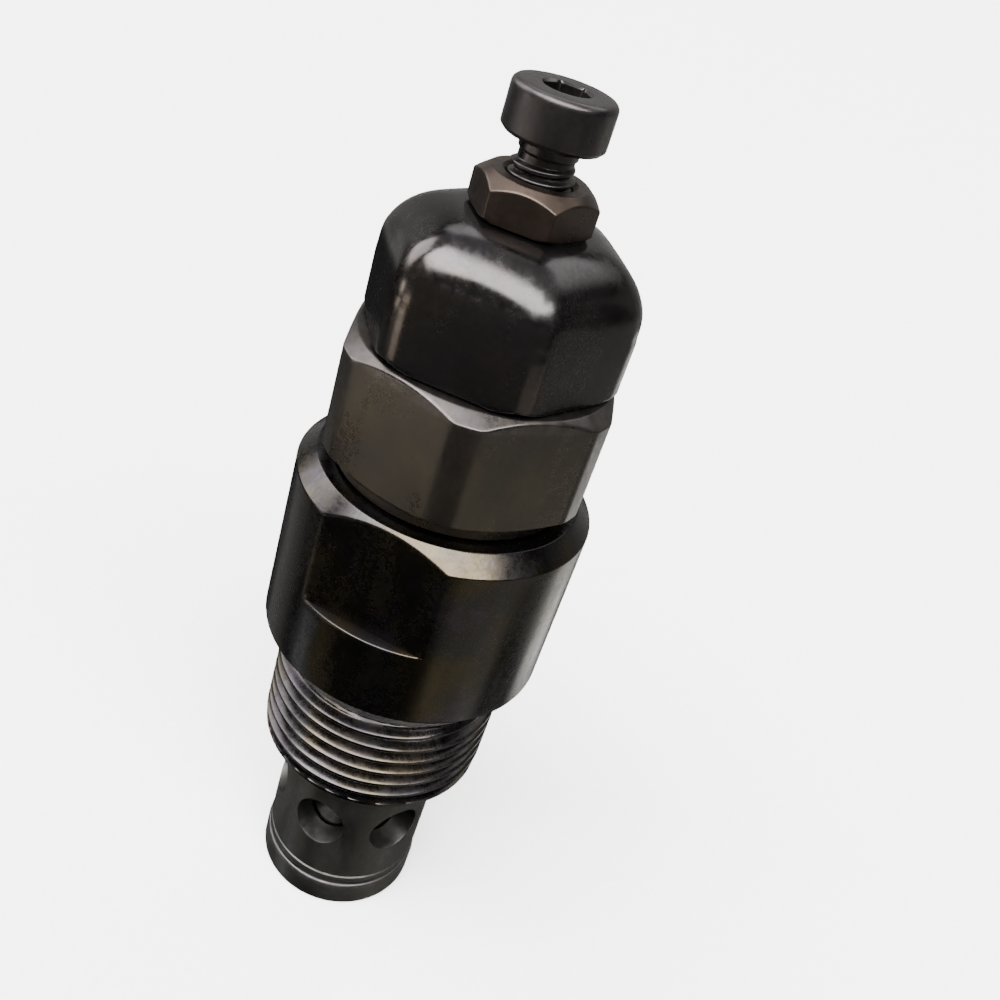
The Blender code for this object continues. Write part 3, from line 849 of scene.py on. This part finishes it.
def sleeve():
    """The nose sleeve, with its ring of ports and a fine groove below them."""
    groove = 0.25           # half the groove's height
    flare = 0.35            # how much wider a port is where it breaks the surface
    outline = filleted([
        (SLEEVE_RECESS_R, SLEEVE_BOTTOM, 0),
        (NOSE_R, SLEEVE_BOTTOM, 0.35),
        (NOSE_R, SLEEVE_GROOVE_Z - groove, 0.15),
        (NOSE_R - 0.35, SLEEVE_GROOVE_Z, 0.1),
        (NOSE_R, SLEEVE_GROOVE_Z + groove, 0.15),
        (NOSE_R, SLEEVE_LEDGE, 0),
        (SLEEVE_FLANGE_R, SLEEVE_LEDGE, 0),
        (SLEEVE_FLANGE_R, SLEEVE_TOP, 0),
        (SLEEVE_BORE_R, SLEEVE_TOP, 0),
        (SLEEVE_BORE_R, SLEEVE_RECESS_TOP, 0),
        (SLEEVE_RECESS_R, SLEEVE_RECESS_TOP, 0),
    ])
    outline = divided(outline, 0.8, 6.5, 36.0)
    piece = make_piece("sleeve_ported", turned(outline, SMALL_SIDES), FINISHES["nose_steel"])
    cut_away(piece, [port_cutter(index, flare) for index in range(PORT_COUNT)])
    piece.data.set_sharp_from_angle(angle=math.radians(30))
    stand_for(piece, "valve", "sleeve")


def seat_ring():
    """The rounded ring that closes the nose, with the poppet's seat at its bore's top."""
    outline = filleted([
        (INLET_R + 0.4, 0.0, 0.2),
        (SEAT_RING_R - 0.05, 0.0, 0.5),
        (SEAT_RING_R, SEAT_RING_EDGE, 0.45),
        (SEAT_SPIGOT_R, SEAT_RING_EDGE, 0),
        (SEAT_SPIGOT_R, SEAT_RING_TOP, 0),
        (INLET_R + 1.2, SEAT_RING_TOP, 0),
        (INLET_R, SEAT_RING_TOP - 1.2, 0),
        (INLET_R, 0.4, 0.1),
    ])
    piece = make_piece("seat_ring_rounded", turned(outline, SMALL_SIDES), FINISHES["nose_steel"])
    stand_for(piece, "valve", "seat_ring")


def main_poppet():
    """The poppet that is seen through the ports: a ground cup with a conical nose."""
    outline = filleted([
        (ORIFICE_R, POPPET_BOTTOM, 0.1),
        (POPPET_NOSE_R, POPPET_BOTTOM, 0.2),
        (POPPET_R, POPPET_CONE_TOP, 0.8),
        (POPPET_R, POPPET_TOP, 0.3),
        (POPPET_BORE_R, POPPET_TOP, 0.2),
        (POPPET_BORE_R, POPPET_FLOOR, 0),
        (ORIFICE_R, POPPET_FLOOR, 0),
    ])
    shape = turned(outline, SMALL_SIDES)
    piece = make_piece("poppet_ground", shape, FINISHES["bright_steel"])
    stand_for(piece, "main_stage", "main_poppet")


def coil_spring(name, node, bodies, middle_r, wire_r, turns, seated, foot=0.0):
    """A coil spring over the height of a CAD node, baked where it stands; bodies is not used.

    The turns near either end lie close together; seated is not used. foot lifts its lower end
    off its seat.
    """
    low, high = millimetres(node)
    bottom, top = low.z + foot, high.z
    start = bottom + wire_r
    rise = top - bottom - 2 * wire_r
    # closest turns are a tenth of the wire apart
    close_share = 2.2 * wire_r * turns / rise
    verts = []
    faces = []
    steps = turns * SPRING_STEPS
    for step in range(steps + 1):
        share = step / steps
        eased = share - math.sin(2 * math.pi * share) / (2 * math.pi)
        height = start + rise * (close_share * share + (1 - close_share) * eased)
        angle = 360.0 * turns * share
        # the wire's last half turn is thinned, as if ground flat
        slim = wire_r * min(1.0, 0.35 + 1.3 * turns * min(share, 1 - share))
        for side in range(WIRE_SIDES):
            around = 2 * math.pi * side / WIRE_SIDES
            x, y = heading(angle, middle_r + wire_r * math.cos(around))
            verts.append((x, y, height + slim * math.sin(around)))
    for step in range(steps):
        lower = range(step * WIRE_SIDES, (step + 1) * WIRE_SIDES)
        upper = range((step + 1) * WIRE_SIDES, (step + 2) * WIRE_SIDES)
        bridge(faces, lower, upper)
    faces.append(tuple(range(WIRE_SIDES)))
    faces.append(tuple(range(steps * WIRE_SIDES, (steps + 1) * WIRE_SIDES)))
    piece = make_piece(name, (verts, faces), FINISHES["spring_steel"], 50.0)
    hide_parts(node)
    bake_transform(piece)


def flange_o_ring():
    """The round seal in the relief under the body's shoulder."""
    section_steps = 24
    low, high = millimetres("flange_o_ring")
    section_r = (high.z - low.z) / 2 / math.sin(math.radians(60))
    centre_z = (high.z + low.z) / 2
    section = []
    for step in range(section_steps):
        around = 2 * math.pi * step / section_steps
        section.append((FLANGE_SEAL_R + section_r * math.cos(around),
                        centre_z + section_r * math.sin(around)))
    piece = make_piece("flange_seal", turned(section, SMALL_SIDES), FINISHES["black_rubber"])
    stand_for(piece, "valve", "flange_o_ring")


# ---------------------------------------------------------------- set

def camera():
    """The camera looks down at the upright valve, rolled so that its top leans right."""
    away = 122.3            # from the axis, along the heading
    aside = 7.4             # to the right of the axis
    height = 152.4
    heading_from_front = 12.5
    pitch = math.radians(32.36)
    roll = math.radians(18.91)
    toward = Vector((*heading(heading_from_front, 1.0), 0))
    right = Vector((*heading(heading_from_front + 90, 1.0), 0))
    up = Vector((0, 0, 1))
    forward = -toward * math.cos(pitch) - up * math.sin(pitch)
    level_up = up * math.cos(pitch) - toward * math.sin(pitch)
    x_axis = right * math.cos(roll) + level_up * math.sin(roll)
    y_axis = level_up * math.cos(roll) - right * math.sin(roll)
    place = (toward * away + right * aside + up * height) * MM
    data = bpy.data.cameras.new("camera")
    data.sensor_width = 36.0
    data.lens = 39.39
    data.clip_start = 0.005
    data.clip_end = 20.0
    camera_object = bpy.data.objects.new("camera", data)
    bpy.context.scene.collection.objects.link(camera_object)
    camera_object.matrix_world = Matrix((
        (x_axis.x, y_axis.x, -forward.x, place.x),
        (x_axis.y, y_axis.y, -forward.y, place.y),
        (x_axis.z, y_axis.z, -forward.z, place.z),
        (0, 0, 0, 1),
    ))
    bpy.context.scene.camera = camera_object


def floor():
    """A plain pale floor under the nose, which the valve doesn't mirror."""
    n = Nodes("floor_paper")
    grain = n.noise(0.8, detail=3.0)
    colour = n.mix(n.ramp(grain, 0.3, 0.7), (0.90, 0.90, 0.90), (0.93, 0.93, 0.93))
    material = n.finish(Base_Color=colour, Roughness=0.8)
    mesh = bpy.data.meshes.new("floor")
    size = 5.1              # half its side, in metres
    mesh.from_pydata([(-size, -size, 0), (size, -size, 0), (size, size, 0), (-size, size, 0)],
                     [], [(0, 1, 2, 3)])
    mesh.materials.append(material)
    piece = bpy.data.objects.new("floor", mesh)
    bpy.context.scene.collection.objects.link(piece)
    piece.location.z = CAD_BOX[0][2] - 0.1 * MM
    piece.visible_glossy = False


def backdrop():
    """A pale round wall far behind the valve, which only the camera sees."""
    n = Nodes("backdrop_paper")
    grain = n.noise(0.0004, detail=2.0)
    colour = n.mix(n.ramp(grain, 0.3, 0.7), (0.98, 0.98, 0.98), (1.0, 1.0, 1.0))
    material = n.finish(Base_Color=colour, Roughness=0.9, Emission_Color=colour,
                        Emission_Strength=4.6)
    radius = 5.0            # in metres, as its height is
    sides = 96
    verts = []
    for height in (-0.05, 5.0):
        for side in range(sides):
            x, y = heading(360 * side / sides, radius)
            verts.append((x, y, height))
    faces = [(side, (side + 1) % sides, sides + (side + 1) % sides, sides + side)
             for side in range(sides)]
    mesh = bpy.data.meshes.new("backdrop")
    mesh.from_pydata(verts, [], faces)
    mesh.materials.append(material)
    mesh.shade_smooth()
    piece = bpy.data.objects.new("backdrop", mesh)
    bpy.context.scene.collection.objects.link(piece)
    piece.visible_glossy = False
    piece.visible_diffuse = False
    piece.visible_shadow = False


def lights():
    """All the light is the world's: a ceiling, a soft box high in front, and low panels."""
    world = bpy.data.worlds.new("studio")
    world.use_nodes = True
    tree = world.node_tree

    def node(kind, *values):
        made = tree.nodes.new(kind)
        for socket, value in zip(made.inputs, values):
            if isinstance(value, bpy.types.NodeSocket):
                tree.links.new(value, socket)
            else:
                socket.default_value = value
        return made

    def maths(operation, first, second=0.0):
        made = node("ShaderNodeMath", first, second)
        made.operation = operation
        return made.outputs[0]

    def ramp(value, low, high, out_low=0.0, out_high=1.0):
        made = node("ShaderNodeMapRange", value, low, high, out_low, out_high)
        made.interpolation_type = "SMOOTHSTEP"
        return made.outputs["Result"]

    direction = node("ShaderNodeTexCoord").outputs["Generated"]
    split = node("ShaderNodeSeparateXYZ", direction)
    east, north, up = split.outputs
    around = maths("ARCTAN2", east, maths("MULTIPLY", north, -1.0))
    elevation = maths("ARCSINE", up)
    total = None

    def lit(strength, colour, amount):
        """Add light of a colour wherever amount is above 0."""
        nonlocal total
        level = node("ShaderNodeVectorMath", tuple(strength * channel for channel in colour))
        level.operation = "SCALE"
        tree.links.new(amount, level.inputs["Scale"])
        if total is None:
            total = level.outputs[0]
            return
        sum_node = node("ShaderNodeVectorMath", total, level.outputs[0])
        total = sum_node.outputs[0]

    def band(value, low, high, soft):
        """1 where value lies between two angles, and 0 further out than soft."""
        low, high, soft = (math.radians(angle) for angle in (low, high, soft))
        return maths("MULTIPLY", ramp(value, low - soft, low), ramp(value, high + soft, high))

    def panel(strength, colour, centre, half_width, lowest, highest, soft=4):
        """A soft-edged panel of the sky, placed by azimuth and elevation in degrees."""
        amount = maths("MULTIPLY", band(around, centre - half_width, centre + half_width, soft),
                       band(elevation, lowest, highest, soft))
        lit(strength, colour, amount)

    # the ceiling, straight overhead
    lit(1.05, (1.0, 0.98, 0.98), ramp(up, 0.70, 0.84))
    # the soft box, seen as the bright band on the cap's dome
    panel(32.0, (1.0, 0.97, 0.97), -7, 55, 44, 67, 7)
    # its lower end on the right
    panel(32.0, (1.0, 0.97, 0.97), 64, 12, 42, 50, 5)
    # a little light from everywhere
    lit(0.03, (0.97, 0.98, 1.0), ramp(up, 2.0, 1.5))
    # the front of the cap, of the lock nut and of the screw's head
    panel(0.25, (1.0, 0.97, 0.94), 0, 70, -24, 15, 7)
    # the highlight down the left of the screw's head
    panel(14.0, (1.0, 0.95, 0.90), -63, 4, -17, -6, 2)
    # the warm highlight down the cap's left corner
    panel(11.0, (1.0, 0.90, 0.76), -39, 11, -24, -20, 2)
    # the cool streak down the left of the body
    panel(1.8, (0.92, 0.96, 1.0), -64, 4, -62, -40)
    # the golden streak beside it
    panel(0.6, (1.0, 0.80, 0.28), -45, 5, -48, -38)
    # the left sides of the housing and the body
    panel(0.3, (1.0, 0.98, 0.94), -106, 14, -50, -30, 6)
    # the right sides of the housing and the body
    panel(1.1, (1.0, 0.95, 0.82), 72, 22, -50, -28, 8)
    # the right side of the cap
    panel(0.45, (1.0, 0.97, 0.90), 116, 24, -32, -8, 10)
    # the right-hand edges of the cap and the housing
    panel(2.0, (1.0, 0.97, 0.92), 150, 10, -40, -22, 6)
    # the right sides of the thread and the nose
    panel(0.4, (1.0, 0.98, 0.97), 112, 24, -60, -47, 5)
    # the left end of the body's chamfer
    panel(14.0, (1.0, 0.97, 0.98), -92, 14, 18, 44, 6)
    # dimmer light behind the valve, for views from behind
    for side in (-1, 1):
        panel(4.0, (1.0, 0.98, 0.97), 156 * side, 24, 42, 56, 7)
        panel(0.4, (1.0, 0.97, 0.94), 150 * side, 30, -12, 25, 6)
    background = tree.nodes["Background"]
    tree.links.new(total, background.inputs["Color"])
    background.inputs["Strength"].default_value = 1.0
    bpy.context.scene.world = world


def main():
    finish_hidden_nodes()
    adjusting_screw()
    lock_nut()
    cap()
    housing()
    valve_body()
    sleeve()
    seat_ring()
    main_poppet()
    coil_spring("poppet_spring", "main_spring", ("main_stage", "valve"), *MAIN_SPRING)
    coil_spring("relief_spring", "pilot_spring", ("valve", "plunger"), *PILOT_SPRING,
                foot=PILOT_SPRING_FOOT)
    flange_o_ring()
    floor()
    backdrop()
    camera()
    lights()


main()
